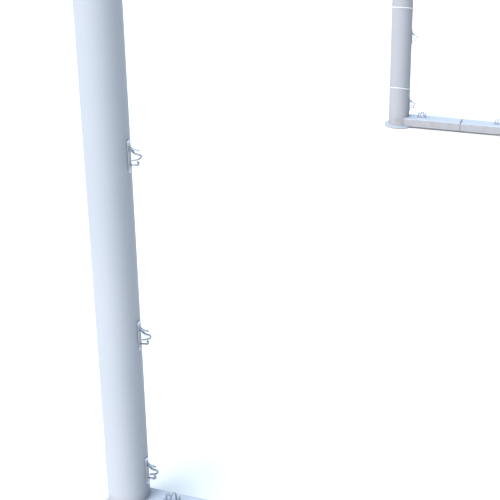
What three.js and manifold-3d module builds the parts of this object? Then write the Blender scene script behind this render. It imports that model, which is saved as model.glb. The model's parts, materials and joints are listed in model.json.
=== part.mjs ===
// A free-standing tubular gate frame of the kind used as a 3 m by 2 m goal.
// The front frame (two round posts, a crossbar and two welded ground stubs) stands on round foot
// plates. The rear frame (a U of flat tube on the ground and two bent stays) plugs on to four
// spigots of the front frame and slides off them to the rear. Anchor loops hinge on the rear bar.
// Millimetres. X runs along the crossbar with +X on the right as seen from the front, Y runs to
// the rear, and Z is up. Every size below is measured from the post axes and from the ground.
import * as THREE from 'three';
import { mergeVertices } from 'three/addons/utils/BufferGeometryUtils.js';
import Module from 'manifold-3d';

const wasm = await Module();
wasm.setup();

// ---- Driving dimensions ----
const MOUTH_WIDTH = 3000;
const MOUTH_HEIGHT = 2000;
const POST_DIAMETER = 100;
const POST_WALL = 3;
const BASE_DEPTH = 1000;
const TOP_DEPTH = 800;
const FLANGE_DIAMETER = 140;
const FLANGE_THICKNESS = 8;
const BAR_WIDTH = 80;
const BAR_HEIGHT = 40;
const BAR_WALL = 3;
const SEAM_Y = 310;
const SEAM_GAP = 3;
const PLUG_LENGTH = 150;
const STAY_DIAMETER = 38;
const STAY_WALL = 2.5;
const STAY_BEND_RADIUS = 150;
const CLEARANCE = 0.3;

// ---- Places worked out from the driving dimensions ----
const POST_RADIUS = POST_DIAMETER / 2;
const POST_X = MOUTH_WIDTH / 2 + POST_RADIUS;
const CROSSBAR_Z = MOUTH_HEIGHT + POST_RADIUS;
const BAR_BOTTOM = FLANGE_THICKNESS + CLEARANCE;
const BAR_Z = BAR_BOTTOM + BAR_HEIGHT / 2;
const BAR_TOP = BAR_BOTTOM + BAR_HEIGHT;
const SIDES = { left: -1, right: 1 };

// ---- Net hooks: where they sit ----
const POST_HOOK_HEIGHTS = {
  left: [114, 452, 885, 1320, 1750],
  right: [126, 486, 914, 1345, 1770],
};
const STUB_HOOK_Y = 117;
const SIDE_HOOK_YS = [492, 860];
const CROSS_HOOK_XS = [-1200, -600, 0, 600, 1200];

// ---- Materials ----
function finish(color, roughness, metalness) {
  return new THREE.MeshStandardMaterial({ color, roughness, metalness });
}
const WHITE_COAT = finish(0xe9eff6, 0.3, 0);
const ZINC = finish(0xb9bec4, 0.4, 1);
const BRIGHT_STEEL = finish(0xd5dae0, 0.25, 1);
const RUBBER = finish(0x26272a, 0.85, 0);
const CORD = finish(0xf2f4f6, 0.8, 0);

// ---- Solids: between three.js geometry and manifold-3d ----
function toSolid(geometry) {
  const bare = geometry.clone();
  bare.deleteAttribute('normal');
  bare.deleteAttribute('uv');
  const merged = mergeVertices(bare.index ? bare.toNonIndexed() : bare, 1e-4);
  return new wasm.Manifold(new wasm.Mesh({
    numProp: 3,
    vertProperties: new Float32Array(merged.attributes.position.array),
    triVerts: new Uint32Array(merged.index.array),
  }));
}

function toGeometry(solid) {
  const mesh = solid.getMesh();
  const geometry = new THREE.BufferGeometry();
  geometry.setAttribute('position', new THREE.BufferAttribute(mesh.vertProperties, 3));
  geometry.setIndex(new THREE.BufferAttribute(mesh.triVerts, 1));
  const faceted = geometry.toNonIndexed();
  faceted.computeVertexNormals();
  return faceted;
}

// A large block filling the side of a plane that its normal points to.
function halfSpace(point, normal) {
  const size = 8000;
  const block = new THREE.BoxGeometry(size, size, size).translate(0, 0, size / 2);
  const turn = new THREE.Quaternion().setFromUnitVectors(new THREE.Vector3(0, 0, 1), normal);
  block.applyQuaternion(turn);
  block.translate(point.x, point.y, point.z);
  return toSolid(block);
}

// ---- Basic forms ----
function circlePath(radius) {
  return new THREE.Path().absarc(0, 0, radius, 0, Math.PI * 2, true);
}

function ringShape(outerRadius, innerRadius) {
  const shape = new THREE.Shape().absarc(0, 0, outerRadius, 0, Math.PI * 2, false);
  shape.holes.push(circlePath(innerRadius));
  return shape;
}

// A round tube along +Z from the origin. arcSteps is half the number of its flats.
function roundTube(outerRadius, wall, length, arcSteps) {
  const options = { depth: length, bevelEnabled: false, curveSegments: arcSteps };
  return new THREE.ExtrudeGeometry(ringShape(outerRadius, outerRadius - wall), options);
}

function roundedRectangle(target, width, height, radius) {
  const w = width / 2;
  const h = height / 2;
  const quarter = Math.PI / 2;
  target.absarc(w - radius, h - radius, radius, 0, quarter, false);
  target.absarc(radius - w, h - radius, radius, quarter, 2 * quarter, false);
  target.absarc(radius - w, radius - h, radius, 2 * quarter, 3 * quarter, false);
  target.absarc(w - radius, radius - h, radius, 3 * quarter, 4 * quarter, false);
  target.closePath();
  return target;
}

// A flat rectangular tube along +Y from the origin, with its width along X and its height along Z.
function flatTube(width, height, wall, length) {
  const cornerRadius = 5;
  const boreCornerRadius = 2.5;
  const shape = roundedRectangle(new THREE.Shape(), width, height, cornerRadius);
  const bore = roundedRectangle(
    new THREE.Path(), width - 2 * wall, height - 2 * wall, boreCornerRadius);
  shape.holes.push(bore);
  const options = { depth: length, bevelEnabled: false, curveSegments: 3 };
  return new THREE.ExtrudeGeometry(shape, options).rotateX(-Math.PI / 2);
}

// A bar of hexagonal section along +Z from the origin.
function hexPrism(acrossFlats, length) {
  const radius = acrossFlats / Math.sqrt(3);
  return new THREE.CylinderGeometry(radius, radius, length, 6)
    .rotateX(Math.PI / 2)
    .translate(0, 0, length / 2);
}

function roundBar(radius, length, segments) {
  return new THREE.CylinderGeometry(radius, radius, length, segments)
    .rotateX(Math.PI / 2)
    .translate(0, 0, length / 2);
}

// ---- Placing pieces ----
const model = new THREE.Group();

function addPiece(parent, name, geometry, material) {
  const mesh = new THREE.Mesh(geometry, material);
  mesh.name = name;
  parent.add(mesh);
  return mesh;
}

// Turns a piece so that its local Y runs along one direction and its local Z points outward.
function aim(mesh, along, outward) {
  const across = new THREE.Vector3().crossVectors(along, outward);
  const basis = new THREE.Matrix4().makeBasis(across, along, outward);
  mesh.quaternion.setFromRotationMatrix(basis);
  return mesh;
}

const RIGHTWARD = new THREE.Vector3(1, 0, 0);
const REARWARD = new THREE.Vector3(0, 1, 0);
const UPWARD = new THREE.Vector3(0, 0, 1);

// ---- Front frame ----
// The mitre between a post and the crossbar slopes at 45 degrees through the corner. This gives
// the half-space outside it, where the post is, held off the plane by half the clearance.
function mitreSide(side, towardPost) {
  const normal = new THREE.Vector3(side, 0, -1).normalize();
  if (!towardPost) {
    normal.negate();
  }
  const start = normal.clone().multiplyScalar(CLEARANCE / 2);
  return halfSpace(start, normal);
}

// The post is drawn with its origin at the crossbar's height, where the mitre passes.
function postGeometry(side) {
  const bottom = FLANGE_THICKNESS + CLEARANCE;
  const tube = roundTube(POST_RADIUS, POST_WALL, CROSSBAR_Z - bottom + 2 * POST_RADIUS, 24)
    .translate(0, 0, bottom - CROSSBAR_Z);
  return toGeometry(toSolid(tube).intersect(mitreSide(side, true)));
}

function crossbarGeometry() {
  const length = 2 * POST_X + 4 * POST_RADIUS;
  const tube = roundTube(POST_RADIUS, POST_WALL, length, 24)
    .rotateY(Math.PI / 2)
    .translate(-length / 2, 0, 0);
  let solid = toSolid(tube);
  for (const side of Object.values(SIDES)) {
    solid = solid.intersect(mitreSide(side, false).translate([side * POST_X, 0, 0]));
  }
  return toGeometry(solid);
}

// A mitred elbow that fits inside the post and the crossbar and joins them.
function cornerSleeveGeometry(side) {
  const play = 0.5;
  const radius = POST_RADIUS - POST_WALL - play;
  const legLength = 160;
  const wall = 5;
  const overlap = 0.1;
  const postLeg = toSolid(roundTube(radius, wall, legLength + 2 * radius, 12)
    .translate(0, 0, -legLength));
  const crossLeg = toSolid(roundTube(radius, wall, legLength + 2 * radius, 12)
    .rotateY(-side * Math.PI / 2)
    .translate(side * 2 * radius, 0, 0));
  const normal = new THREE.Vector3(side, 0, -1).normalize();
  const postSide = halfSpace(normal.clone().multiplyScalar(-overlap), normal);
  const crossSide = halfSpace(new THREE.Vector3(), normal.clone().negate());
  return toGeometry(postLeg.intersect(postSide).add(crossLeg.intersect(crossSide)));
}

// A round plate with a chamfered top edge and a drain hole under the post.
function footPlateGeometry() {
  const radius = FLANGE_DIAMETER / 2;
  const chamfer = 1.5;
  const drainRadius = 8;
  const profile = [
    [drainRadius, 0],
    [radius, 0],
    [radius, FLANGE_THICKNESS - chamfer],
    [radius - chamfer, FLANGE_THICKNESS],
    [drainRadius, FLANGE_THICKNESS],
    [drainRadius, 0],
  ].map(([r, z]) => new THREE.Vector2(r, z));
  return new THREE.LatheGeometry(profile, 40).rotateX(Math.PI / 2);
}

// The stub's front end is scooped out to the round of the post.
function groundStubGeometry() {
  const length = SEAM_Y - SEAM_GAP / 2;
  const tube = toSolid(flatTube(BAR_WIDTH, BAR_HEIGHT, BAR_WALL, length));
  const post = toSolid(roundBar(POST_RADIUS + CLEARANCE, 2 * BAR_HEIGHT, 48)
    .translate(0, 0, -BAR_HEIGHT));
  return toGeometry(tube.subtract(post));
}

function groundSpigotGeometry() {
  const play = 1;
  return flatTube(BAR_WIDTH - 2 * BAR_WALL - play, BAR_HEIGHT - 2 * BAR_WALL - play, BAR_WALL,
    2 * PLUG_LENGTH);
}

const SPIGOT_PLAY = 0.5;
const SPIGOT_WALL = 3;
const SPIGOT_RADIUS = STAY_DIAMETER / 2 - STAY_WALL - SPIGOT_PLAY;
const ARM_START = 90;

// A round tube from the rear of the corner that the stay's front end slides over.
function topSpigotGeometry() {
  const tube = toSolid(roundTube(SPIGOT_RADIUS, SPIGOT_WALL, ARM_START + PLUG_LENGTH, 12)
    .rotateX(-Math.PI / 2));
  const post = toSolid(roundBar(POST_RADIUS + CLEARANCE, 4 * POST_RADIUS, 48)
    .translate(0, 0, -2 * POST_RADIUS));
  const crossbar = toSolid(roundBar(POST_RADIUS + CLEARANCE, 4 * POST_RADIUS, 48)
    .translate(0, 0, -2 * POST_RADIUS)
    .rotateY(Math.PI / 2));
  return toGeometry(tube.subtract(post).subtract(crossbar));
}

function buildFrontFrame() {
  const frame = new THREE.Group();
  model.add(frame);
  addPiece(frame, 'crossbar', crossbarGeometry(), WHITE_COAT).position.z = CROSSBAR_Z;
  for (const [label, side] of Object.entries(SIDES)) {
    const x = side * POST_X;
    const pieces = [
      ['post', postGeometry(side), WHITE_COAT, 0, CROSSBAR_Z],
      ['corner_sleeve', cornerSleeveGeometry(side), ZINC, 0, CROSSBAR_Z],
      ['foot_plate', footPlateGeometry(), WHITE_COAT, 0, 0],
      ['ground_stub', groundStubGeometry(), WHITE_COAT, 0, BAR_Z],
      ['ground_spigot', groundSpigotGeometry(), ZINC, SEAM_Y - PLUG_LENGTH, BAR_Z],
      ['top_spigot', topSpigotGeometry(), ZINC, 0, CROSSBAR_Z],
    ];
    for (const [kind, geometry, material, y, z] of pieces) {
      addPiece(frame, `${kind}_${label}`, geometry, material).position.set(x, y, z);
    }
  }
}

// ---- Rear frame ----
const CLAMP_Y = 350;
const SCREW_RADIUS = 4.8;
const NUT_HEIGHT = 8;
const NUT_ACROSS_FLATS = 17;
const NUT_BORE_RADIUS = SCREW_RADIUS + 0.4;

// A weld nut along +Z with its bore running through it and on through the wall under it.
function weldNut(wall) {
  const sunk = 0.4;
  const boreDepth = 2 * wall;
  const nut = toSolid(hexPrism(NUT_ACROSS_FLATS, NUT_HEIGHT + sunk).translate(0, 0, -sunk));
  const bore = toSolid(roundBar(NUT_BORE_RADIUS, 2 * NUT_HEIGHT + boreDepth, 16)
    .translate(0, 0, -boreDepth));
  return { nut, bore };
}

// The 45 degree cut at a rear corner, with the corner's centre at the origin. The side bar keeps
// the front of it and the rear bar keeps the back.
function rearMitre(side, towardSideBar) {
  const normal = new THREE.Vector3(side, -1, 0).normalize();
  if (!towardSideBar) {
    normal.negate();
  }
  return halfSpace(normal.clone().multiplyScalar(CLEARANCE / 2), normal);
}

function sideBarGeometry(side) {
  const start = SEAM_Y + SEAM_GAP / 2;
  const tube = toSolid(flatTube(BAR_WIDTH, BAR_HEIGHT, BAR_WALL, BASE_DEPTH + BAR_WIDTH - start)
    .translate(0, start, 0));
  const cut = rearMitre(side, true).translate([0, BASE_DEPTH, 0]);
  const { nut, bore } = weldNut(BAR_WALL);
  const turn = [0, side * 90, 0];
  const place = [side * BAR_WIDTH / 2, CLAMP_Y, 0];
  const solid = tube.intersect(cut)
    .add(nut.rotate(turn).translate(place))
    .subtract(bore.rotate(turn).translate(place));
  return toGeometry(solid);
}

function rearBarGeometry() {
  const length = 2 * POST_X + 2 * BAR_WIDTH;
  const tube = flatTube(BAR_WIDTH, BAR_HEIGHT, BAR_WALL, length)
    .rotateZ(-Math.PI / 2)
    .translate(-length / 2, 0, 0);
  let solid = toSolid(tube);
  for (const side of Object.values(SIDES)) {
    solid = solid.intersect(rearMitre(side, false).translate([side * POST_X, 0, 0]));
  }
  return toGeometry(solid);
}

// The centre line of a stay: a straight arm, one bend and a straight leg in the YZ plane. Its
// points are numbered by station, so the straight lengths take one step each.
class StayPath extends THREE.Curve {
  constructor(start, corner, end, radius, bendSteps) {
    super();
    const into = corner.clone().sub(start).normalize();
    const out = end.clone().sub(corner).normalize();
    const turn = into.angleTo(out);
    const tangentLength = radius * Math.tan(turn / 2);
    const bendStart = corner.clone().addScaledVector(into, -tangentLength);
    const toCentre = out.clone().addScaledVector(into, -out.dot(into)).normalize();
    const centre = bendStart.clone().addScaledVector(toCentre, radius);
    this.points = [start];
    this.tangents = [into];
    for (let step = 0; step <= bendSteps; step += 1) {
      const angle = turn * step / bendSteps;
      const sine = Math.sin(angle);
      const cosine = Math.cos(angle);
      this.points.push(centre.clone()
        .addScaledVector(toCentre, -radius * cosine)
        .addScaledVector(into, radius * sine));
      this.tangents.push(into.clone().multiplyScalar(cosine).addScaledVector(toCentre, sine));
    }
    this.points.push(end);
    this.tangents.push(out);
    this.steps = this.points.length - 1;
  }

  station(u) {
    return Math.round(u * this.steps);
  }

  getPointAt(u, target = new THREE.Vector3()) {
    return target.copy(this.points[this.station(u)]);
  }

  getTangentAt(u, target = new THREE.Vector3()) {
    return target.copy(this.tangents[this.station(u)]);
  }
}

// The leg runs down from the stay's corner to the middle of the rear corner's top face.
const STAY_CORNER = new THREE.Vector3(0, TOP_DEPTH, CROSSBAR_Z);
const STAY_FOOT = new THREE.Vector3(0, BASE_DEPTH, BAR_TOP);
const LEG_DIRECTION = STAY_FOOT.clone().sub(STAY_CORNER).normalize();
const LEG_CLEAR = 16;
const NUT_BEHIND_ARM_END = 35;
const NUT_SEAT = 0.3;
const ARM_NUT_Y = ARM_START + NUT_BEHIND_ARM_END;
const ARM_NUT_Z = CROSSBAR_Z - STAY_DIAMETER / 2 + NUT_SEAT;

function stayGeometry() {
  const start = new THREE.Vector3(0, ARM_START, CROSSBAR_Z);
  const end = STAY_FOOT.clone().addScaledVector(LEG_DIRECTION, -LEG_CLEAR);
  const path = new StayPath(start, STAY_CORNER, end, STAY_BEND_RADIUS, 7);
  const section = ringShape(STAY_DIAMETER / 2, STAY_DIAMETER / 2 - STAY_WALL);
  const options = { steps: path.steps, extrudePath: path, bevelEnabled: false, curveSegments: 8 };
  const tube = toSolid(new THREE.ExtrudeGeometry(section, options));
  const { nut, bore } = weldNut(STAY_WALL);
  const place = [0, ARM_NUT_Y, ARM_NUT_Z];
  const solid = tube
    .add(nut.rotate([180, 0, 0]).translate(place))
    .subtract(bore.rotate([180, 0, 0]).translate(place));
  return toGeometry(solid);
}

// A short tube on the rear corner, leaning with the leg, that the stay's lower end slides over.
function staySocketGeometry() {
  const height = 130;
  const sunk = 20;
  const lean = new THREE.Quaternion()
    .setFromUnitVectors(UPWARD, LEG_DIRECTION.clone().negate());
  const tube = toSolid(roundTube(SPIGOT_RADIUS, SPIGOT_WALL, height + sunk, 12)
    .translate(0, 0, -sunk)
    .applyQuaternion(lean));
  return toGeometry(tube.intersect(halfSpace(new THREE.Vector3(0, 0, CLEARANCE), UPWARD)));
}

// A hexagon-head screw along -Z. Its head rests above the weld nut and its tip stops just short
// of the tube that it clamps.
function clampScrewGeometry(wall) {
  const headHeight = 6.4;
  const headAcrossFlats = 16;
  const headGap = 1.5;
  const tipPastWall = 0.1;
  const rootInHead = 1;
  const shankLength = headGap + NUT_HEIGHT + wall + tipPastWall;
  const head = toSolid(hexPrism(headAcrossFlats, headHeight));
  const shank = toSolid(roundBar(SCREW_RADIUS, shankLength + rootInHead, 16)
    .translate(0, 0, -shankLength));
  return { geometry: toGeometry(head.add(shank)), reach: NUT_HEIGHT + headGap };
}

function rearPadGeometry() {
  const side = 70;
  return new THREE.BoxGeometry(side, side, FLANGE_THICKNESS).translate(0, 0, FLANGE_THICKNESS / 2);
}

function buildRearFrame() {
  const frame = new THREE.Group();
  model.add(frame);
  addPiece(frame, 'rear_bar', rearBarGeometry(), WHITE_COAT).position.set(0, BASE_DEPTH, BAR_Z);
  const barScrew = clampScrewGeometry(BAR_WALL);
  const armScrew = clampScrewGeometry(STAY_WALL);
  for (const [label, side] of Object.entries(SIDES)) {
    const x = side * POST_X;
    const pieces = [
      ['side_bar', sideBarGeometry(side), WHITE_COAT, 0, BAR_Z],
      ['stay', stayGeometry(), WHITE_COAT, 0, 0],
      ['stay_socket', staySocketGeometry(), ZINC, BASE_DEPTH, BAR_TOP],
      ['rear_pad', rearPadGeometry(), RUBBER, BASE_DEPTH, 0],
    ];
    for (const [kind, geometry, material, y, z] of pieces) {
      addPiece(frame, `${kind}_${label}`, geometry, material).position.set(x, y, z);
    }
    const outward = new THREE.Vector3(side, 0, 0);
    const low = addPiece(frame, `bar_screw_${label}`, barScrew.geometry, BRIGHT_STEEL);
    aim(low, REARWARD, outward);
    low.position.set(x + side * (BAR_WIDTH / 2 + barScrew.reach), CLAMP_Y, BAR_Z);
    const high = addPiece(frame, `arm_screw_${label}`, armScrew.geometry, BRIGHT_STEEL);
    aim(high, RIGHTWARD, UPWARD.clone().negate());
    high.position.set(x, ARM_NUT_Y, ARM_NUT_Z - armScrew.reach);
  }
}

// ---- Anchor loops on the rear bar ----
const ANCHOR_XS = { left: -900, right: 900 };
const LUG_RADIUS = 8;
const LUG_BORE_RADIUS = 4.5;
const LUG_LENGTH = 50;
const LUG_Y = BASE_DEPTH + BAR_WIDTH / 2 - 11;
const LUG_Z = BAR_TOP + CLEARANCE + LUG_RADIUS;
const LOOP_ROD_RADIUS = 4;
const LOOP_LENGTH = 58;
const LOOP_WIDTH = 76;
const LOOP_CORNER = 14;
const HINGE_CORNER = 8;
const ROD_END_GAP = 4;

// The rod of a loop: from inside the lug out to one side, round three sides of a rectangle and
// back into the lug from the other side. X is the hinge axis and the loop lies toward -Y.
function loopPath() {
  const w = LOOP_WIDTH / 2;
  const far = -LOOP_LENGTH;
  const r = LOOP_CORNER;
  const h = HINGE_CORNER;
  const start = ROD_END_GAP / 2;
  const flat = (x, y) => new THREE.Vector3(x, y, 0);
  const path = new THREE.CurvePath();
  const straight = (from, to) => path.add(new THREE.LineCurve3(from, to));
  const corner = (from, at, to) => path.add(new THREE.QuadraticBezierCurve3(from, at, to));
  straight(flat(start, 0), flat(w - h, 0));
  corner(flat(w - h, 0), flat(w, 0), flat(w, -h));
  straight(flat(w, -h), flat(w, far + r));
  corner(flat(w, far + r), flat(w, far), flat(w - r, far));
  straight(flat(w - r, far), flat(r - w, far));
  corner(flat(r - w, far), flat(-w, far), flat(-w, far + r));
  straight(flat(-w, far + r), flat(-w, -h));
  corner(flat(-w, -h), flat(-w, 0), flat(h - w, 0));
  straight(flat(h - w, 0), flat(-start, 0));
  return path;
}

// The loop rests on the rear bar's top face, so it leans down a little from its hinge.
function buildAnchor(label) {
  const x = ANCHOR_XS[label];
  const lug = addPiece(model, `anchor_lug_${label}`,
    roundTube(LUG_RADIUS, LUG_RADIUS - LUG_BORE_RADIUS, LUG_LENGTH, 10)
      .rotateY(Math.PI / 2)
      .translate(-LUG_LENGTH / 2, 0, 0),
    WHITE_COAT);
  lug.position.set(x, LUG_Y, LUG_Z);
  const section = new THREE.Shape().absarc(0, 0, LOOP_ROD_RADIUS, 0, Math.PI * 2, false);
  const options = { steps: 36, extrudePath: loopPath(), bevelEnabled: false, curveSegments: 3 };
  const loop = addPiece(model, `anchor_loop_${label}`,
    new THREE.ExtrudeGeometry(section, options), BRIGHT_STEEL);
  const drop = LUG_Z - BAR_TOP - LOOP_ROD_RADIUS - CLEARANCE;
  loop.position.set(x, LUG_Y, LUG_Z);
  loop.rotation.x = Math.asin(drop / LOOP_LENGTH);
}

// ---- Net hooks ----
// A hook is drawn with its base strip along Y and its fingers rising along Z. The outer fingers
// lean and curl toward the middle one, which turns back toward the strip.
const HOOK_BASE = { length: 74, width: 14, thickness: 2.5 };
const FINGER = { width: 6, thickness: 3.4 };

function arcPoints(centreY, centreZ, radius, fromDegrees, toDegrees, steps) {
  const points = [];
  for (let step = 0; step <= steps; step += 1) {
    const degrees = fromDegrees + (toDegrees - fromDegrees) * step / steps;
    const angle = THREE.MathUtils.degToRad(degrees);
    const y = centreY + radius * Math.cos(angle);
    const z = centreZ + radius * Math.sin(angle);
    points.push(new THREE.Vector2(y, z));
  }
  return points;
}

// The outline of a strip of even width that follows a line of points.
function stripShape(points, width) {
  const left = [];
  const right = [];
  points.forEach((point, index) => {
    const before = points[Math.max(index - 1, 0)];
    const after = points[Math.min(index + 1, points.length - 1)];
    const direction = after.clone().sub(before).normalize();
    const normal = new THREE.Vector2(-direction.y, direction.x).multiplyScalar(width / 2);
    left.push(point.clone().add(normal));
    right.unshift(point.clone().sub(normal));
  });
  return new THREE.Shape([...left, ...right]);
}

function fingerSolid(points) {
  const options = { depth: FINGER.width, bevelEnabled: false };
  const strip = new THREE.ExtrudeGeometry(stripShape(points, FINGER.thickness), options)
    .translate(0, 0, -FINGER.width / 2);
  const turn = new THREE.Matrix4().makeBasis(REARWARD, UPWARD, RIGHTWARD);
  return toSolid(strip.applyMatrix4(turn));
}

function hookGeometry() {
  const root = HOOK_BASE.thickness / 2;
  const base = new THREE.BoxGeometry(HOOK_BASE.width, HOOK_BASE.length, HOOK_BASE.thickness)
    .translate(0, 0, root);
  const at = (y, z) => new THREE.Vector2(y, z);
  const upper = [at(21, root), at(17.2, 8), at(15, 13), at(14.2, 18), at(14.4, 24)];
  const middle = [
    at(12.5, root),
    at(10.6, 8.5),
    at(6.4, 12.8),
    ...arcPoints(0.9, 24, 4.3, 0, 160, 4),
    at(-5.7, 20),
    at(-8.3, 14),
    at(-9.2, 8),
  ];
  const lower = [at(-20.5, root), at(-19.4, 11), ...arcPoints(-14.8, 18, 4, 180, 10, 4)];
  let solid = toSolid(base);
  for (const points of [upper, middle, lower]) {
    solid = solid.add(fingerSolid(points));
  }
  return toGeometry(solid);
}

function buildHooks() {
  const geometry = hookGeometry();
  const addHook = (name, x, y, z, along, outward) => {
    aim(addPiece(model, name, geometry, BRIGHT_STEEL), along, outward).position.set(x, y, z);
  };
  const behindTube = POST_RADIUS + CLEARANCE;
  const onBar = BAR_TOP + CLEARANCE;
  for (const [label, side] of Object.entries(SIDES)) {
    const x = side * POST_X;
    POST_HOOK_HEIGHTS[label].forEach((z, index) => {
      addHook(`post_hook_${label}_${index + 1}`, x, behindTube, z, UPWARD, REARWARD);
    });
    addHook(`stub_hook_${label}`, x, STUB_HOOK_Y, onBar, REARWARD, UPWARD);
    SIDE_HOOK_YS.forEach((y, index) => {
      addHook(`side_hook_${label}_${index + 1}`, x, y, onBar, REARWARD, UPWARD);
    });
  }
  CROSS_HOOK_XS.forEach((x, index) => {
    addHook(`cross_hook_${index + 1}`, x, behindTube, CROSSBAR_Z, RIGHTWARD, REARWARD);
    addHook(`rear_hook_${index + 1}`, x, BASE_DEPTH, onBar, RIGHTWARD, UPWARD);
  });
}

// ---- Cord ties round the left post ----
const TIES = {
  lower: { z: 185.5, slope: 0.395 },
  upper: { z: 591, slope: 0.26 },
};
const TIE_CORD_RADIUS = 2.2;
const KNOT_RADIUS = 5;
const KNOT_OFFSET = 3;

// One slanted turn of cord round a post, open by the width of its knot.
class TiePath extends THREE.Curve {
  constructor(radius, slope) {
    super();
    this.radius = radius;
    this.slope = slope;
  }

  getPoint(t, target = new THREE.Vector3()) {
    const openAngle = THREE.MathUtils.degToRad(8);
    const angle = Math.PI + openAngle / 2 + t * (2 * Math.PI - openAngle);
    const x = this.radius * Math.cos(angle);
    return target.set(x, this.radius * Math.sin(angle), x * this.slope);
  }
}

function tieGeometry(slope) {
  const radius = POST_RADIUS + CLEARANCE + TIE_CORD_RADIUS;
  const section = new THREE.Shape().absarc(0, 0, TIE_CORD_RADIUS, 0, Math.PI * 2, false);
  const path = new TiePath(radius, slope);
  const options = { steps: 28, extrudePath: path, bevelEnabled: false, curveSegments: 3 };
  const turn = toSolid(new THREE.ExtrudeGeometry(section, options));
  const knot = new THREE.SphereGeometry(KNOT_RADIUS, 8, 6)
    .translate(-radius - KNOT_OFFSET, 0, -radius * slope);
  const post = toSolid(roundBar(POST_RADIUS + CLEARANCE, 8 * POST_RADIUS, 48)
    .translate(0, 0, -4 * POST_RADIUS));
  return toGeometry(turn.add(toSolid(knot)).subtract(post));
}

function buildTies() {
  for (const [label, { z, slope }] of Object.entries(TIES)) {
    const tie = addPiece(model, `cord_tie_${label}`, tieGeometry(slope), CORD);
    tie.position.set(-POST_X, 0, z);
  }
}

buildFrontFrame();
buildRearFrame();
buildAnchor('left');
buildAnchor('right');
buildHooks();
buildTies();

// The origin is on the ground under the middle of the whole frame.
model.updateMatrixWorld(true);
const extent = new THREE.Box3().setFromObject(model, true);
const middle = extent.getCenter(new THREE.Vector3());
model.position.set(-middle.x, -middle.y, 0);

export default model;
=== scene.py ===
"""A free-standing tubular gate frame, of the kind used as a 3 m by 2 m goal, finished in Blender.

Each CAD node but the corner sleeves, which keep their shape and take the zinc finish, is replaced
by a smoother and more detailed piece in the same place: round and flat tubes with weld beads, net
hooks of bent strip, hexagon screws, rubber pads and twisted cord.
Metres. X runs along the crossbar, Y runs to the rear and Z is up.
"""

import json
import math

import bmesh
import bpy
from mathutils import Matrix, Vector

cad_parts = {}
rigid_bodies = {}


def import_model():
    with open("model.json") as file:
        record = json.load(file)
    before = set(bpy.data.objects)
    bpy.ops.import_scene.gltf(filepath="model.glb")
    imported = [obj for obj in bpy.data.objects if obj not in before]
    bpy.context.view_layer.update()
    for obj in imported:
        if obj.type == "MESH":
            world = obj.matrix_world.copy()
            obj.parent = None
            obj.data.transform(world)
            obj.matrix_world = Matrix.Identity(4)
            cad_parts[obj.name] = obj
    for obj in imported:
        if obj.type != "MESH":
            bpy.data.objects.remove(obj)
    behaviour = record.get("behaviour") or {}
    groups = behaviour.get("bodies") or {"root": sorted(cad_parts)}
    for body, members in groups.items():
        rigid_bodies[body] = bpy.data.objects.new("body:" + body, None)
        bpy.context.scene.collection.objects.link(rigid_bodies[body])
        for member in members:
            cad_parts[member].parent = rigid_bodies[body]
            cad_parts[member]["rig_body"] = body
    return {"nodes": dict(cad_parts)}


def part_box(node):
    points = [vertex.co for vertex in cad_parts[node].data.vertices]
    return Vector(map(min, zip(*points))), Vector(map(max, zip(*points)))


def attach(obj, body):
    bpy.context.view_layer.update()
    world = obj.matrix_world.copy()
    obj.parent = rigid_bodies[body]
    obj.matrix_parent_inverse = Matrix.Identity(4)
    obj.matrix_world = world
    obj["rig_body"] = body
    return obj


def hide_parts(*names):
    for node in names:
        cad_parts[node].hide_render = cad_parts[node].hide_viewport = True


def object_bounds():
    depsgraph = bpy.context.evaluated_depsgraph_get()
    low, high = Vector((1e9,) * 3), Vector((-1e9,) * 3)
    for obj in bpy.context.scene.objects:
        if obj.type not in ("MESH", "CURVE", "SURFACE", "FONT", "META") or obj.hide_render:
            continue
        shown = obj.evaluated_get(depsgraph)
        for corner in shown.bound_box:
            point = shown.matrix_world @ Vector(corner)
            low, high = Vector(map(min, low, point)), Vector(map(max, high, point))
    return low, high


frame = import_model()
cad_low, cad_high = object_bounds()

X = Vector((1, 0, 0))
Y = Vector((0, 1, 0))
Z = Vector((0, 0, 1))
SIDES = {"left": -1, "right": 1}


# ---- Places read from the CAD frame ----
def middle(node):
    low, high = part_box(node)
    return (low + high) / 2


def extent(node):
    low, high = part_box(node)
    return high - low


POST_X = middle("post_right").x
POST_Y = middle("post_right").y
POST_RADIUS = extent("post_right").y / 2
CROSSBAR_Z = middle("crossbar").z
BAR_WIDTH = extent("ground_stub_right").x
BAR_HEIGHT = extent("ground_stub_right").z
BAR_Z = middle("ground_stub_right").z
BAR_BOTTOM = BAR_Z - BAR_HEIGHT / 2
BAR_TOP = BAR_Z + BAR_HEIGHT / 2
STUB_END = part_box("ground_stub_right")[1].y
SIDE_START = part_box("side_bar_right")[0].y
REAR_Y = middle("rear_bar").y

# ---- Sizes that a box can't give ----
POST_WALL = 0.003
BAR_WALL = 0.003
BAR_CORNER = 0.005
SPIGOT_WALL = 0.003
STAY_RADIUS = 0.019
STAY_WALL = 0.0025
STAY_BEND_RADIUS = 0.15
SOCKET_HEIGHT = 0.13
TOP_DEPTH = 0.8  # from the posts' axes to where the lines of a stay's arm and leg cross
LEG_CLEAR = 0.016  # from the rear bar's top to the end of a stay's leg
NUT_ACROSS_FLATS = 0.017
NUT_HEIGHT = 0.008
HEAD_GAP = 0.0015  # between a clamp screw's head and its nut
HOOK_LENGTH = 0.074
HOOK_THICKNESS = 0.0025
RIM = 0.0006  # how far the rim of a tube's end is broken
GAP = 0.0003  # between a part and what it is welded to or rests on
MITRE_SINK = 0.0012  # how deep under the surface the line of a mitre's weld runs


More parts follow.
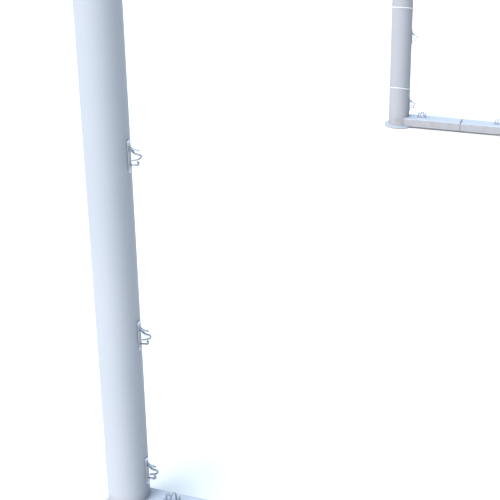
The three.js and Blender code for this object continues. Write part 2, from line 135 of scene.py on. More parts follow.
# ---- Materials ----
class Recipe:
    """A node material in the making. place is the position on the piece, in metres."""

    def __init__(self, name, metallic=0.0):
        self.material = bpy.data.materials.new(name)
        self.material.use_nodes = True
        self.tree = self.material.node_tree
        self.shader = self.tree.nodes["Principled BSDF"]
        self.shader.inputs["Metallic"].default_value = metallic
        self.place = self.tree.nodes.new("ShaderNodeTexCoord").outputs["Object"]

    def join(self, output, target):
        self.tree.links.new(output, target)

    def noise(self, scale, detail=2.0):
        node = self.tree.nodes.new("ShaderNodeTexNoise")
        node.inputs["Scale"].default_value = scale
        node.inputs["Detail"].default_value = detail
        self.join(self.place, node.inputs["Vector"])
        return node.outputs["Fac"]

    def cells(self, scale):
        """A random shade from 0 to 1 for each grain of a cellular pattern."""
        node = self.tree.nodes.new("ShaderNodeTexVoronoi")
        node.inputs["Scale"].default_value = scale
        self.join(self.place, node.inputs["Vector"])
        split = self.tree.nodes.new("ShaderNodeSeparateColor")
        self.join(node.outputs["Color"], split.inputs["Color"])
        return split.outputs["Red"]

    def part(self, vector, axis):
        split = self.tree.nodes.new("ShaderNodeSeparateXYZ")
        self.join(vector, split.inputs["Vector"])
        return split.outputs[axis]

    def upright(self):
        """1 where the surface stands upright and 0 where it faces up or down."""
        normal = self.tree.nodes.new("ShaderNodeNewGeometry").outputs["Normal"]
        slope = self.tree.nodes.new("ShaderNodeMath")
        slope.operation = "ABSOLUTE"
        self.join(self.part(normal, "Z"), slope.inputs[0])
        return self.spread(slope.outputs["Value"], 0.4, 0.8, 1, 0)

    def spread(self, value, low, high, to_low, to_high):
        """Maps the range from low to high on to another and holds the result inside it."""
        node = self.tree.nodes.new("ShaderNodeMapRange")
        node.inputs["From Min"].default_value = low
        node.inputs["From Max"].default_value = high
        node.inputs["To Min"].default_value = to_low
        node.inputs["To Max"].default_value = to_high
        self.join(value, node.inputs["Value"])
        return node.outputs["Result"]

    def product(self, first, second):
        node = self.tree.nodes.new("ShaderNodeMath")
        node.operation = "MULTIPLY"
        self.join(first, node.inputs[0])
        self.join(second, node.inputs[1])
        return node.outputs["Value"]

    def mix(self, factor, first, second):
        """A colour between two, each a plain colour or another node's output."""
        node = self.tree.nodes.new("ShaderNodeMix")
        node.data_type = "RGBA"
        # A mix node has sockets for numbers and vectors too. These are its colour ones.
        colour_a, colour_b = node.inputs[6], node.inputs[7]
        mixed_colour = node.outputs[2]
        self.join(factor, node.inputs[0])
        for socket, colour in ((colour_a, first), (colour_b, second)):
            if isinstance(colour, tuple):
                socket.default_value = (*colour, 1)
            else:
                self.join(colour, socket)
        return mixed_colour

    def set_colour(self, output):
        self.join(output, self.shader.inputs["Base Color"])

    def set_metallic(self, output):
        self.join(output, self.shader.inputs["Metallic"])

    def set_roughness(self, output):
        self.join(output, self.shader.inputs["Roughness"])

    def set_bump(self, height, strength, distance):
        node = self.tree.nodes.new("ShaderNodeBump")
        node.inputs["Strength"].default_value = strength
        node.inputs["Distance"].default_value = distance
        self.join(height, node.inputs["Height"])
        self.join(node.outputs["Normal"], self.shader.inputs["Normal"])


def white_coat():
    """Cool white powder coat with faint mottling and orange peel. Its upper faces are painted lighter
    and bluer, as painted light from the sky. Its upright faces are dustier toward the left side, and
    near the ground they are darker and less blue, as painted shade, and splashed with dirt too.
    Painted shade also darkens the coat by the seams between the stubs and the side bars."""
    fresh = (0.465, 0.485, 0.53)
    mottled = (0.445, 0.47, 0.515)
    # Painted light: faces that point up or down are lighter and bluer, as if lit by the sky.
    painted_top_light = (0.51, 0.548, 0.61)
    # Dust on the upright faces toward the left side.
    dust_and_shade = (0.405, 0.405, 0.44)
    # Painted shade: the upright faces turn darker and less blue near the ground.
    painted_ground_shade = (0.39, 0.385, 0.41)
    splash = (0.30, 0.27, 0.23)
    # Painted shade: the coat darkens within a few millimetres of the seams between stubs and side
    # bars.
    seam_painted_shade = (0.28, 0.28, 0.30)
    full_seam_shade = 0.0015  # distances from a seam's edges
    seam_shade_reach = 0.003
    recipe = Recipe("white_coat")
    along = recipe.part(recipe.place, "Y")
    height = recipe.part(recipe.place, "Z")
    mottling = recipe.spread(recipe.noise(2.2), 0.35, 0.65, 0, 1)
    clean = recipe.mix(mottling, fresh, mottled)
    leftward = recipe.spread(recipe.part(recipe.place, "X"), -POST_X, POST_X, 1, 0)
    dusty = recipe.mix(leftward, clean, dust_and_shade)
    low_down = recipe.spread(height, 0.045, 0.075, 1, 0)
    splashes = recipe.product(low_down, recipe.spread(recipe.noise(38, 5), 0.5, 0.75, 0, 0.5))
    # Painted shade near the ground, under the dirt splashes.
    ground_shaded = recipe.mix(low_down, dusty, painted_ground_shade)
    side = recipe.mix(splashes, ground_shaded, splash)
    # Faces that point up or down take the painted top light; upright faces take the rest.
    coat = recipe.mix(recipe.upright(), painted_top_light, side)
    # Painted shade at the seams, near the ground.
    by_seam = recipe.product(
        recipe.spread(along, STUB_END - seam_shade_reach, STUB_END - full_seam_shade, 0, 1),
        recipe.spread(along, SIDE_START + full_seam_shade, SIDE_START + seam_shade_reach, 1, 0),
    )
    near_ground = recipe.spread(height, 0.08, 0.1, 1, 0)
    recipe.set_colour(recipe.mix(recipe.product(by_seam, near_ground), coat, seam_painted_shade))
    recipe.set_roughness(recipe.spread(recipe.noise(9, 3), 0.3, 0.7, 0.42, 0.52))
    recipe.set_bump(recipe.noise(700, 1), 0.08, 0.0004)
    recipe.shader.inputs["Specular IOR Level"].default_value = 0.07
    return recipe.material


def zinc():
    """Zinc plate with soft spangles."""
    recipe = Recipe("zinc", metallic=1.0)
    grains = recipe.cells(240)
    recipe.set_colour(recipe.mix(grains, (0.38, 0.39, 0.41), (0.46, 0.47, 0.49)))
    recipe.set_roughness(recipe.spread(grains, 0, 1, 0.38, 0.46))
    recipe.set_bump(recipe.noise(450, 2), 0.1, 0.0003)
    return recipe.material


def bright_steel():
    """Bright plated steel, a little duller in patches."""
    recipe = Recipe("bright_steel", metallic=1.0)
    patches = recipe.spread(recipe.noise(140, 3), 0.35, 0.65, 0, 1)
    recipe.set_colour(recipe.mix(patches, (0.62, 0.64, 0.67), (0.46, 0.48, 0.51)))
    recipe.set_roughness(recipe.spread(patches, 0, 1, 0.22, 0.36))
    recipe.set_bump(recipe.noise(600, 2), 0.12, 0.0002)
    return recipe.material


def hook_metal():
    """Plated strip: bright at the screwed ends of its base. Between them the base is a matt grey, with
    dust and painted shade under the fingers, and the fingers are dull with handling."""
    recipe = Recipe("hook_metal")
    patches = recipe.spread(recipe.noise(220, 3), 0.35, 0.65, 0, 1)
    fingers = recipe.mix(patches, (0.43, 0.46, 0.51), (0.22, 0.24, 0.28))
    ends = recipe.mix(patches, (0.62, 0.66, 0.74), (0.50, 0.53, 0.60))
    # Dust and painted shade: the base between the screwed ends, under the fingers, is darker and matt.
    dust_and_shade = (0.38, 0.40, 0.44)
    along = recipe.part(recipe.place, "Y")
    screwed_end = HOOK_LENGTH / 2 - 0.008
    dust_and_shade_edge = HOOK_LENGTH / 2 - 0.012
    between_ends = recipe.product(
        recipe.spread(along, -screwed_end, -dust_and_shade_edge, 0, 1),
        recipe.spread(along, dust_and_shade_edge, screwed_end, 1, 0),
    )
    height = recipe.part(recipe.place, "Z")
    base = recipe.spread(height, HOOK_THICKNESS + 0.0002, 2 * HOOK_THICKNESS, 1, 0)
    inner = recipe.mix(base, fingers, dust_and_shade)
    recipe.set_colour(recipe.mix(between_ends, ends, inner))
    recipe.set_metallic(recipe.spread(recipe.product(between_ends, base), 0, 1, 1.0, 0.1))
    recipe.set_roughness(recipe.spread(patches, 0, 1, 0.26, 0.42))
    recipe.set_bump(recipe.noise(600, 2), 0.12, 0.0002)
    return recipe.material


def rubber():
    """Matt black rubber, dusty and grained."""
    recipe = Recipe("rubber")
    # Dust patches on the rubber.
    dust_and_shade = recipe.spread(recipe.noise(60, 4), 0.4, 0.7, 0, 0.6)
    recipe.set_colour(recipe.mix(dust_and_shade, (0.02, 0.02, 0.022), (0.09, 0.085, 0.08)))
    recipe.set_roughness(recipe.spread(recipe.noise(90), 0.3, 0.7, 0.72, 0.9))
    recipe.set_bump(recipe.noise(1200, 2), 0.35, 0.0003)
    return recipe.material


def net_cord():
    """White twisted cord with fine fibres and a trace of grime."""
    recipe = Recipe("net_cord")
    grime = recipe.spread(recipe.noise(120, 4), 0.45, 0.75, 0, 0.5)
    recipe.set_colour(recipe.mix(grime, (0.86, 0.88, 0.90), (0.66, 0.67, 0.68)))
    recipe.set_roughness(recipe.spread(recipe.noise(500), 0.3, 0.7, 0.65, 0.85))
    recipe.set_bump(recipe.noise(2500, 3), 0.4, 0.0003)
    recipe.shader.inputs["Sheen Weight"].default_value = 0.3
    return recipe.material


FINISHES = (white_coat, zinc, bright_steel, hook_metal, rubber, net_cord)
MATERIALS = {make.__name__: make() for make in FINISHES}


# ---- Shapes ----
class Shape:
    """The points and faces of one piece, gathered from several skins."""

    def __init__(self):
        self.points = []
        self.faces = []

    def skin(self, rings, loop=False, caps=False):
        """Joins rings of points with quads. loop joins the last to the first; caps closes the ends."""
        first = len(self.points)
        count = len(rings[0])
        for ring in rings:
            self.points.extend(ring)
        rows = len(rings) if loop else len(rings) - 1
        for row in range(rows):
            a = first + row * count
            b = first + (row + 1) % len(rings) * count
            for i in range(count):
                j = (i + 1) % count
                self.faces.append((a + i, a + j, b + j, b + i))
        if caps:
            last = first + (len(rings) - 1) * count
            self.faces.append(tuple(range(first, first + count)))
            self.faces.append(tuple(range(last, last + count)))

    def add(self, other, place):
        """Adds another shape, moved to its place."""
        first = len(self.points)
        self.points.extend(place @ point for point in other.points)
        self.faces.extend(tuple(first + i for i in face) for face in other.faces)

    def mesh(self, name, slot):
        """A mesh of the shape, shaded smooth except across its sharp edges."""
        sharp_from = math.radians(38)
        mesh = bpy.data.meshes.new(name)
        mesh.from_pydata(self.points, [], self.faces)
        work = bmesh.new()
        work.from_mesh(mesh)
        bmesh.ops.recalc_face_normals(work, faces=work.faces)
        work.to_mesh(mesh)
        work.free()
        mesh.shade_smooth()
        mesh.set_sharp_from_angle(angle=sharp_from)
        mesh.materials.append(MATERIALS[slot])
        return mesh


def held_inside(point):
    """The point, moved just under the sides of the CAD frame's box that it stood proud of."""
    rounding = 0.00001
    depth = 0.0003
    held = point.copy()
    for axis in range(3):
        if point[axis] > cad_high[axis] + rounding:
            held[axis] = cad_high[axis] - depth
        elif point[axis] < cad_low[axis] - rounding:
            held[axis] = cad_low[axis] + depth
    return held


def show(node, mesh, place=None):
    """Puts a piece in the place of a CAD node, on the same body."""
    piece = bpy.data.objects.new(f"{node}_finished", mesh)
    bpy.context.scene.collection.objects.link(piece)
    if place is not None:
        piece.matrix_world = place
    even = piece.modifiers.new("even_shading", "WEIGHTED_NORMAL")
    even.keep_sharp = True
    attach(piece, frame["nodes"][node]["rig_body"])
    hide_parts(node)


def show_shape(node, shape, slot):
    """Puts a shape, held inside the CAD frame's box, in the place of a CAD node."""
    shape.points = [held_inside(point) for point in shape.points]
    show(node, shape.mesh(node, slot))


def aim(place, along, outward):
    """A matrix that puts local Y along one direction and local Z along another at a place."""
    across = along.cross(outward)
    turn = Matrix((across, along, outward)).transposed().to_4x4()
    return Matrix.Translation(place) @ turn


def turns(count):
    return [2 * math.pi * i / count for i in range(count)]


def round_section(radius, count=96):
    return [(radius * math.cos(a), radius * math.sin(a)) for a in turns(count)]


def level(section, height):
    """A section's points laid flat at one height."""
    return [Vector((u, v, height)) for u, v in section]


def flat_section(width, height, radius, across=12):
    """The outline of a flat tube, with points across its wide sides for ends that aren't straight."""
    corner_steps = 5
    half_width = width / 2 - radius
    half_height = height / 2 - radius
    points = []
    for quarter, (side_u, side_v) in enumerate(((1, 1), (-1, 1), (-1, -1), (1, -1))):
        for step in range(corner_steps + 1):
            angle = (quarter + step / corner_steps) * math.pi / 2
            u = side_u * half_width + radius * math.cos(angle)
            v = side_v * half_height + radius * math.sin(angle)
            points.append((u, v))
        if side_u == side_v:
            for step in range(1, across):
                u = side_u * half_width * (1 - 2 * step / across)
                points.append((u, side_v * height / 2))
    return points


def flat_outline(width, height, radius):
    """A flat tube's outline as a function of how far it is set in."""
    return lambda inset: flat_section(width - 2 * inset, height - 2 * inset, radius - inset)


def round_outline(radius, count=96):
    return lambda inset: round_section(radius - inset, count)


def add_tube(shape, outer, inner, put, start, end):
    """A tube with slightly broken rims. start and end give where it ends at a section point, and
    put turns a section point and a distance along the tube into a place."""
    shape.skin(
        [
            [put(u, v, start(u, v)) for u, v in outer(RIM)],
            [put(u, v, start(u, v) + RIM) for u, v in outer(0)],
            [put(u, v, end(u, v) - RIM) for u, v in outer(0)],
            [put(u, v, end(u, v)) for u, v in outer(RIM)],
            [put(u, v, end(u, v)) for u, v in inner],
            [put(u, v, start(u, v)) for u, v in inner],
        ],
        loop=True,
    )


def add_bar(shape, put, start, end):
    """A length of the ground frame's flat tube."""
    bore = flat_section(BAR_WIDTH - 2 * BAR_WALL, BAR_HEIGHT - 2 * BAR_WALL, BAR_CORNER / 2)
    add_tube(shape, flat_outline(BAR_WIDTH, BAR_HEIGHT, BAR_CORNER), bore, put, start, end)


def lathe(shape, profile):
    """Turns a closed profile of (radius, height) points about Z."""
    shape.skin([level(round_section(r), z) for r, z in profile], loop=True)


def evenly(path, spacing, closed):
    """Points at an even spacing along a line of points."""
    corners = [*path, path[0]] if closed else list(path)
    lengths = [(b - a).length for a, b in zip(corners, corners[1:])]
    total = sum(lengths)
    count = max(3, round(total / spacing))
    points = []
    segment = 0
    passed = 0.0
    for step in range(count if closed else count + 1):
        target = total * step / count
        while segment < len(lengths) - 1 and passed + lengths[segment] < target:
            passed += lengths[segment]
            segment += 1
        share = (target - passed) / lengths[segment] if lengths[segment] else 0
        points.append(corners[segment].lerp(corners[segment + 1], min(share, 1)))
    return points


def tangents(points, closed):
    result = []
    for i in range(len(points)):
        before = points[i - 1] if closed or i else points[0]
        after = points[(i + 1) % len(points)] if closed or i < len(points) - 1 else points[-1]
        result.append((after - before).normalized())
    return result


def add_bead(shape, path, axis, radius=0.0026, closed=True):
    """A rippled weld bead, half sunk, along a line of points round an axis."""
    ripple_length = 0.0036
    ripple_steps = 4
    ripple_share = 0.12
    end_share = 0.3
    points = evenly(path, ripple_length / ripple_steps, closed)
    rings = []
    for i, (point, tangent) in enumerate(zip(points, tangents(points, closed))):
        side = tangent.cross(axis).normalized()
        other = tangent.cross(side)
        ripples = i / ripple_steps
        swell = radius * (1 + ripple_share * math.cos(2 * math.pi * ripples))
        if not closed:
            from_end = min(i, len(points) - 1 - i) / ripple_steps
            swell *= min(1, end_share + from_end)
        rings.append([point + swell * (side * math.cos(a) + other * math.sin(a)) for a in turns(8)])
    shape.skin(rings, loop=closed, caps=not closed)


# ---- Front frame ----
def build_post(label, side):
    shape = Shape()
    x = side * POST_X
    add_tube(
        shape,
        round_outline(POST_RADIUS),
        round_section(POST_RADIUS - POST_WALL),
        lambda u, v, s: Vector((x + u, POST_Y + v, s)),
        lambda u, v: BAR_BOTTOM,
        lambda u, v: CROSSBAR_Z + side * u,
    )
    mitre = [
        Vector((x + u, POST_Y + v, CROSSBAR_Z + side * u))
        for u, v in round_section(POST_RADIUS - MITRE_SINK)
    ]
    add_bead(shape, mitre, Vector((side, 0, -1)).normalized())
    show_shape(f"post_{label}", shape, "white_coat")


def build_crossbar():
    shape = Shape()
    add_tube(
        shape,
        round_outline(POST_RADIUS),
        round_section(POST_RADIUS - POST_WALL),
        lambda u, v, s: Vector((s, POST_Y + u, CROSSBAR_Z + v)),
        lambda u, v: -POST_X - v,
        lambda u, v: POST_X + v,
    )
    show_shape("crossbar", shape, "white_coat")


def build_foot_plate(label, side):
    """A round plate with a rounded top edge, a drain hole and the weld round the post."""
    shape = Shape()
    node = f"foot_plate_{label}"
    radius = extent(node).x / 2
    thickness = extent(node).z
    edge = 0.0015
    edge_steps = 4
    drain = 0.008
    weld_out = 0.0008
    rounded = [
        (radius - edge + edge * math.cos(a), thickness - edge + edge * math.sin(a))
        for a in (step * math.pi / 2 / edge_steps for step in range(edge_steps + 1))
    ]
    bottom = [(drain, 0), (radius - RIM, 0), (radius, RIM)]
    lathe(shape, [*bottom, *rounded, (drain, thickness)])
    place = Vector((side * POST_X, POST_Y, 0))
    shape.points = [place + point for point in shape.points]
    weld_line = level(round_section(POST_RADIUS + weld_out), BAR_BOTTOM)
    add_bead(shape, [place + point for point in weld_line], Z, radius=0.0032)
    show_shape(node, shape, "white_coat")


def build_ground_stub(label, side):
    """A flat tube scooped out to the post at its front and cut square at its rear."""
    shape = Shape()
    x = side * POST_X
    scoop = POST_RADIUS + GAP
    add_bar(
        shape,
        lambda u, v, s: Vector((x + u, POST_Y + s, BAR_Z + v)),
        lambda u, v: math.sqrt(scoop**2 - u**2),
        lambda u, v: STUB_END - POST_Y,
    )
    weld_line = [
        Vector((x + u, POST_Y + math.sqrt(scoop**2 - u**2), BAR_Z + v))
        for u, v in flat_section(BAR_WIDTH, BAR_HEIGHT, BAR_CORNER, across=32)
    ]
    add_bead(shape, weld_line, Y)
    show_shape(f"ground_stub_{label}", shape, "white_coat")


def build_ground_spigot(label, side):
    shape = Shape()
    node = f"ground_spigot_{label}"
    low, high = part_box(node)
    width = high.x - low.x
    height = high.z - low.z
    corner = 0.003
    bore_corner = 0.002
    add_tube(
        shape,
        flat_outline(width, height, corner),
        flat_section(width - 2 * SPIGOT_WALL, height - 2 * SPIGOT_WALL, bore_corner),
        lambda u, v, s: Vector((side * POST_X + u, s, BAR_Z + v)),
        lambda u, v: low.y,
        lambda u, v: high.y,
    )
    show_shape(node, shape, "zinc")


def corner_surface(side, u, v):
    """How far behind the posts' axes the rear of a top corner is, at a point across its face."""
    off_axis = u if v < side * u else v
    return math.sqrt(POST_RADIUS**2 - off_axis**2)


def build_top_spigot(label, side):
    shape = Shape()
    node = f"top_spigot_{label}"
    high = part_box(node)[1]
    radius = high.x - side * POST_X
    weld_out = 0.0005

    def put(u, v, s):
        return Vector((side * POST_X + u, POST_Y + s, CROSSBAR_Z + v))

    add_tube(
        shape,
        round_outline(radius, 48),
        round_section(radius - SPIGOT_WALL, 48),
        put,
        lambda u, v: corner_surface(side, u, v),
        lambda u, v: high.y - POST_Y,
    )
    weld_section = round_section(radius + weld_out)
    weld_line = [put(u, v, corner_surface(side, u, v)) for u, v in weld_section]
    add_bead(shape, weld_line, Y, radius=0.0022)
    show_shape(node, shape, "zinc")


# ---- Rear frame ----
HEXAGON_POINTS = 72


def hexagon_ring(across_flats, limit, height):
    """A ring of a hexagon whose corners are cut back to a circle."""
    ring = []
    for angle in turns(HEXAGON_POINTS):
        from_flat = (angle + math.pi / 6) % (math.pi / 3) - math.pi / 6
        radius = min(across_flats / 2 / math.cos(from_flat), limit)
        ring.append(Vector((radius * math.cos(angle), radius * math.sin(angle), height)))
    return ring


def hexagon(across_flats, height, bore=0):
    """A hexagon standing along Z with its upper corners chamfered to a cone, and a bore if it has
    one."""
    corner = across_flats / math.sqrt(3)
    top_radius = across_flats / 2 * 0.97
    chamfer = corner - top_radius
    chamfer_slope = 0.58
    steps = 5
    rings = [hexagon_ring(across_flats, corner, 0)]
    for step in range(steps + 1):
        share = step / steps
        drop = chamfer * chamfer_slope * (1 - share)
        rings.append(hexagon_ring(across_flats, corner - chamfer * share, height - drop))
    if bore:
        rings.append(level(round_section(bore, HEXAGON_POINTS), height - RIM))
        rings.append(level(round_section(bore, HEXAGON_POINTS), 0))
    shape = Shape()
    shape.skin(rings, loop=bool(bore), caps=not bore)
    return shape


def weld_nut():
    """A weld nut standing on a tube wall, with its bore and the weld round its foot."""
    bore = 0.0052
    weld_height = 0.0002
    weld_corner = NUT_ACROSS_FLATS / math.sqrt(3) - 0.0004
    nut = hexagon(NUT_ACROSS_FLATS, NUT_HEIGHT, bore)
    add_bead(nut, hexagon_ring(NUT_ACROSS_FLATS, weld_corner, weld_height), Z, radius=0.0014)
    return nut


def clamp_screw(wall):
    """A hexagon-head screw along -Z, with ridges for its thread. Its origin is under its head, and
    its tip reaches the inside of the tube."""
    head_across_flats = 0.016
    head_height = 0.0064
    washer_radius = 0.0076
    washer_half_height = 0.0004
    shank_radius = 0.0048
    thread_pitch = 0.0015
    thread_depths = (0.0002, 0.0005, 0.0008, 0.0005)
    tip = -(HEAD_GAP + NUT_HEIGHT + wall)
    shape = hexagon(head_across_flats, head_height)
    washer = round_section(washer_radius, 48)
    shape.skin([level(washer, z) for z in (-washer_half_height, washer_half_height)], caps=True)
    rings = []
    steps = round(-tip / thread_pitch * len(thread_depths))
    for step in range(steps + 1):
        depth = thread_depths[step % len(thread_depths)]
        rings.append(level(round_section(shank_radius - depth, 32), tip * step / steps))
    shape.skin(rings, caps=True)
    return shape


def build_side_bar(label, side):
    """A flat tube with a weld nut on its outer face, mitred at the rear corner."""
    shape = Shape()
    x = side * POST_X
    add_bar(
        shape,
        lambda u, v, s: Vector((x + u, s, BAR_Z + v)),
        lambda u, v: SIDE_START,
        lambda u, v: REAR_Y + side * u,
    )
    width = BAR_WIDTH - 2 * MITRE_SINK
    height = BAR_HEIGHT - 2 * MITRE_SINK
    mitre = [
        Vector((x + u, REAR_Y + side * u, BAR_Z + v))
        for u, v in flat_section(width, height, BAR_CORNER, across=32)
    ]
    add_bead(shape, mitre, Vector((side, -1, 0)).normalized())
    clamp_y = middle(f"bar_screw_{label}").y
    nut_place = Vector((x + side * BAR_WIDTH / 2, clamp_y, BAR_Z))
    shape.add(weld_nut(), aim(nut_place, Y, side * X))
    show_shape(f"side_bar_{label}", shape, "white_coat")
    screw = Shape()
    head_place = nut_place + side * X * (NUT_HEIGHT + HEAD_GAP)
    screw.add(clamp_screw(BAR_WALL), aim(head_place, Y, side * X))
    show_shape(f"bar_screw_{label}", screw, "bright_steel")


def build_rear_bar():
    shape = Shape()
    add_bar(
        shape,
        lambda u, v, s: Vector((s, REAR_Y + u, BAR_Z + v)),
        lambda u, v: -POST_X - u,
        lambda u, v: POST_X + u,
    )
    show_shape("rear_bar", shape, "white_coat")


def bent_line(start, corner, end, radius, steps):
    """Points along two straights joined by an arc."""
    into = (corner - start).normalized()
    out = (end - corner).normalized()
    turn = into.angle(out)
    bend_start = corner - into * radius * math.tan(turn / 2)
    to_centre = (out - into * out.dot(into)).normalized()
    centre = bend_start + to_centre * radius
    bend = []
    for step in range(steps + 1):
        angle = turn * step / steps
        bend.append(centre - to_centre * radius * math.cos(angle) + into * radius * math.sin(angle))
    return [start, *bend, end]


def stay_leg(side):
    """Where a stay's leg meets its arm and the rear bar, and the direction up the leg."""
    corner = Vector((side * POST_X, POST_Y + TOP_DEPTH, CROSSBAR_Z))
    foot = Vector((side * POST_X, REAR_Y, BAR_TOP))
    return corner, foot, (corner - foot).normalized()


def build_stay(label, side):
    """A bent tube from the top corner down to the rear corner, with a weld nut under its arm."""
    node = f"stay_{label}"
    x = side * POST_X
    corner, foot, upward = stay_leg(side)
    start = Vector((x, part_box(node)[0].y, CROSSBAR_Z))
    end = foot + upward * LEG_CLEAR
    line = bent_line(start, corner, end, STAY_BEND_RADIUS, steps=24)
    line.insert(1, start + Y * RIM)
    line.insert(-1, line[-1] + upward * RIM)
    rings = []
    ways = tangents(line, False)
    ways[1] = Y
    ways[-2] = -upward
    for reach, inset in ((STAY_RADIUS, RIM), (STAY_RADIUS - STAY_WALL, 0)):
        layer = []
        for i, (point, way) in enumerate(zip(line, ways)):
            at_rim = i in (0, len(line) - 1)
            radius = reach - inset if at_rim else reach
            other = way.cross(X)
            layer.append([point + X * u + other * v for u, v in round_section(radius, 48)])
        rings.extend(reversed(layer) if rings else layer)
    shape = Shape()
    shape.skin(rings, loop=True)
    nut_y = middle(f"arm_screw_{label}").y
    sunk = 0.0003
    nut_place = Vector((x, nut_y, CROSSBAR_Z - STAY_RADIUS + sunk))
    shape.add(weld_nut(), aim(nut_place, X, -Z))
    show_shape(node, shape, "white_coat")
    screw = Shape()
    head_place = nut_place - Z * (NUT_HEIGHT + HEAD_GAP)
    screw.add(clamp_screw(STAY_WALL), aim(head_place, X, -Z))
    show_shape(f"arm_screw_{label}", screw, "bright_steel")


def build_stay_socket(label, side):
    """The short tube on a rear corner, leaning with the stay's leg, and the weld round its foot."""
    _, foot, upward = stay_leg(side)
    other = upward.cross(X)
    radius = extent(f"top_spigot_{label}").x / 2
    weld_out = 0.0006

    def put(u, v, s):
        return foot + X * u + other * v + upward * s

    def on_bar(u, v):
        """How far along the socket the bar's top is, at a point of its section."""
        return GAP - other.z * v / upward.z

    shape = Shape()
    add_tube(
        shape,
        round_outline(radius, 48),
        round_section(radius - SPIGOT_WALL, 48),
        put,
        on_bar,
        lambda u, v: SOCKET_HEIGHT,
    )
    weld_line = [put(u, v, on_bar(u, v)) for u, v in round_section(radius + weld_out, 64)]
    add_bead(shape, weld_line, Z, radius=0.0024)
    show_shape(f"stay_socket_{label}", shape, "zinc")


def build_rear_pad(label):
    """A square rubber pad with two grooves round its sides."""
    shape = Shape()
    node = f"rear_pad_{label}"
    size = extent(node)
    place = middle(node)
    corner = 0.008
    lower_edge = 0.0012
    upper_edge = 0.0008
    groove_depth = 0.0008
    profile = [(0, lower_edge), (lower_edge, 0)]
    for groove in (0.0024, 0.0047):
        profile.append((groove, 0))
        profile.append((groove + 0.0004, groove_depth))
        profile.append((groove + 0.0009, groove_depth))
        profile.append((groove + 0.0013, 0))
    profile.append((size.z - upper_edge, 0))
    profile.append((size.z, upper_edge))
    rings = []
    for height, inset in profile:
        outline = flat_section(size.x - 2 * inset, size.y - 2 * inset, corner - inset)
        rings.append([Vector((place.x + u, place.y + v, height)) for u, v in outline])
    shape.skin(rings, caps=True)
    show_shape(node, shape, "rubber")


# ---- Anchor loops ----
LOOP_ROD_RADIUS = 0.004
LOOP_HALF_WIDTH = 0.038
LOOP_DEPTH = 0.058


def build_anchor_lug(label):
    """A hinge lug: a short tube on the rear bar with a weld along each side of its foot."""
    node = f"anchor_lug_{label}"
    centre = middle(node)
    half_length = extent(node).x / 2
    radius = extent(node).y / 2
    bore = 0.0045
    lug = Shape()
    add_tube(
        lug,
        round_outline(radius, 40),
        round_section(bore, 40),
        lambda u, v, s: centre + Vector((s, u, v)),
        lambda u, v: -half_length,
        lambda u, v: half_length,
    )
    weld_half_length = half_length - 0.003
    weld_out = 0.0052
    weld_up = 0.0012
    for way in (-1, 1):
        toe = centre + Vector((0, way * weld_out, -radius + weld_up))
        ends = [toe + X * s * weld_half_length for s in (-1, 1)]
        add_bead(lug, ends, Z, radius=0.0022, closed=False)
    show_shape(node, lug, "white_coat")


def loop_line():
    """The middle line of an anchor loop's rod, from one end to the other in the XY plane, with the
    hinge along X."""
    hinge_corner = 0.008
    far_corner = 0.014
    half_end_gap = 0.002
    corner_steps = 8
    turn_points = [
        (Vector((LOOP_HALF_WIDTH, 0, 0)), hinge_corner),
        (Vector((LOOP_HALF_WIDTH, -LOOP_DEPTH, 0)), far_corner),
        (Vector((-LOOP_HALF_WIDTH, -LOOP_DEPTH, 0)), far_corner),
        (Vector((-LOOP_HALF_WIDTH, 0, 0)), hinge_corner),
    ]
    corners = [X * half_end_gap, *(point for point, _ in turn_points), -X * half_end_gap]
    line = [corners[0]]
    for i, (corner, reach) in enumerate(turn_points, start=1):
        into = (corner - corners[i - 1]).normalized()
        out = (corners[i + 1] - corner).normalized()
        before = corner - into * reach
        after = corner + out * reach
        for step in range(corner_steps + 1):
            t = step / corner_steps
            line.append(before.lerp(corner, t).lerp(corner.lerp(after, t), t))
    line.append(corners[-1])
    return line


def build_anchor_loop(label):
    """A loop of bent rod that turns in its lug and leans down on the rear bar's top."""
    hinge = middle(f"anchor_lug_{label}")
    line = loop_line()
    rings = []
    for point, way in zip(line, tangents(line, False)):
        side = way.cross(Z)
        rings.append([point + side * u + Z * v for u, v in round_section(LOOP_ROD_RADIUS, 24)])
    loop = Shape()
    loop.skin(rings, caps=True)
    drop = hinge.z - BAR_TOP - LOOP_ROD_RADIUS - GAP
    lean = Matrix.Rotation(math.asin(drop / LOOP_DEPTH), 4, "X")
    placed = Shape()
    placed.add(loop, Matrix.Translation(hinge) @ lean)
    show_shape(f"anchor_loop_{label}", placed, "bright_steel")


# ---- Net hooks ----
def smooth_line(points, steps=5):
    """A smooth line through the points (a Catmull-Rom spline)."""
    padded = [points[0] * 2 - points[1], *points, points[-1] * 2 - points[-2]]
    line = []
    for i in range(1, len(padded) - 2):
        p0, p1, p2, p3 = padded[i - 1 : i + 3]
        for step in range(steps):
            t = step / steps
            line.append(
                0.5
                * (
                    2 * p1
                    + (p2 - p0) * t
                    + (2 * p0 - 5 * p1 + 4 * p2 - p3) * t**2
                    + (3 * p1 - p0 - 3 * p2 + p3) * t**3
                )
            )
    line.append(points[-1])
    return line


def add_finger(shape, points):
    """One finger of a hook: a strip with rounded edges bent in the YZ plane, with a rounded tip.
    Its points are pairs of Y and Z in millimetres."""
    half_width = 0.003
    half_thickness = 0.0017
    squareness = 0.6
    tip_angles = (0.5, 0.95, 1.35)
    line = smooth_line([Vector((0, y / 1000, z / 1000)) for y, z in points])
    ways = tangents(line, False)
    stations = [(point, way, 1.0) for point, way in zip(line, ways)]
    tip = line[-1]
    last_way = ways[-1]
    for angle in tip_angles:
        reach = half_thickness * math.sin(angle)
        stations.append((tip + last_way * reach, last_way, math.cos(angle)))
    rings = []
    for point, way, share in stations:
        normal = Vector((0, -way.z, way.y))
        ring = []
        for a in turns(16):
            wide = half_width * math.copysign(abs(math.cos(a)) ** squareness, math.cos(a))
            thick = half_thickness * math.copysign(abs(math.sin(a)) ** squareness, math.sin(a))
            ring.append(point + share * (X * wide + normal * thick))
        rings.append(ring)
    shape.skin(rings, caps=True)


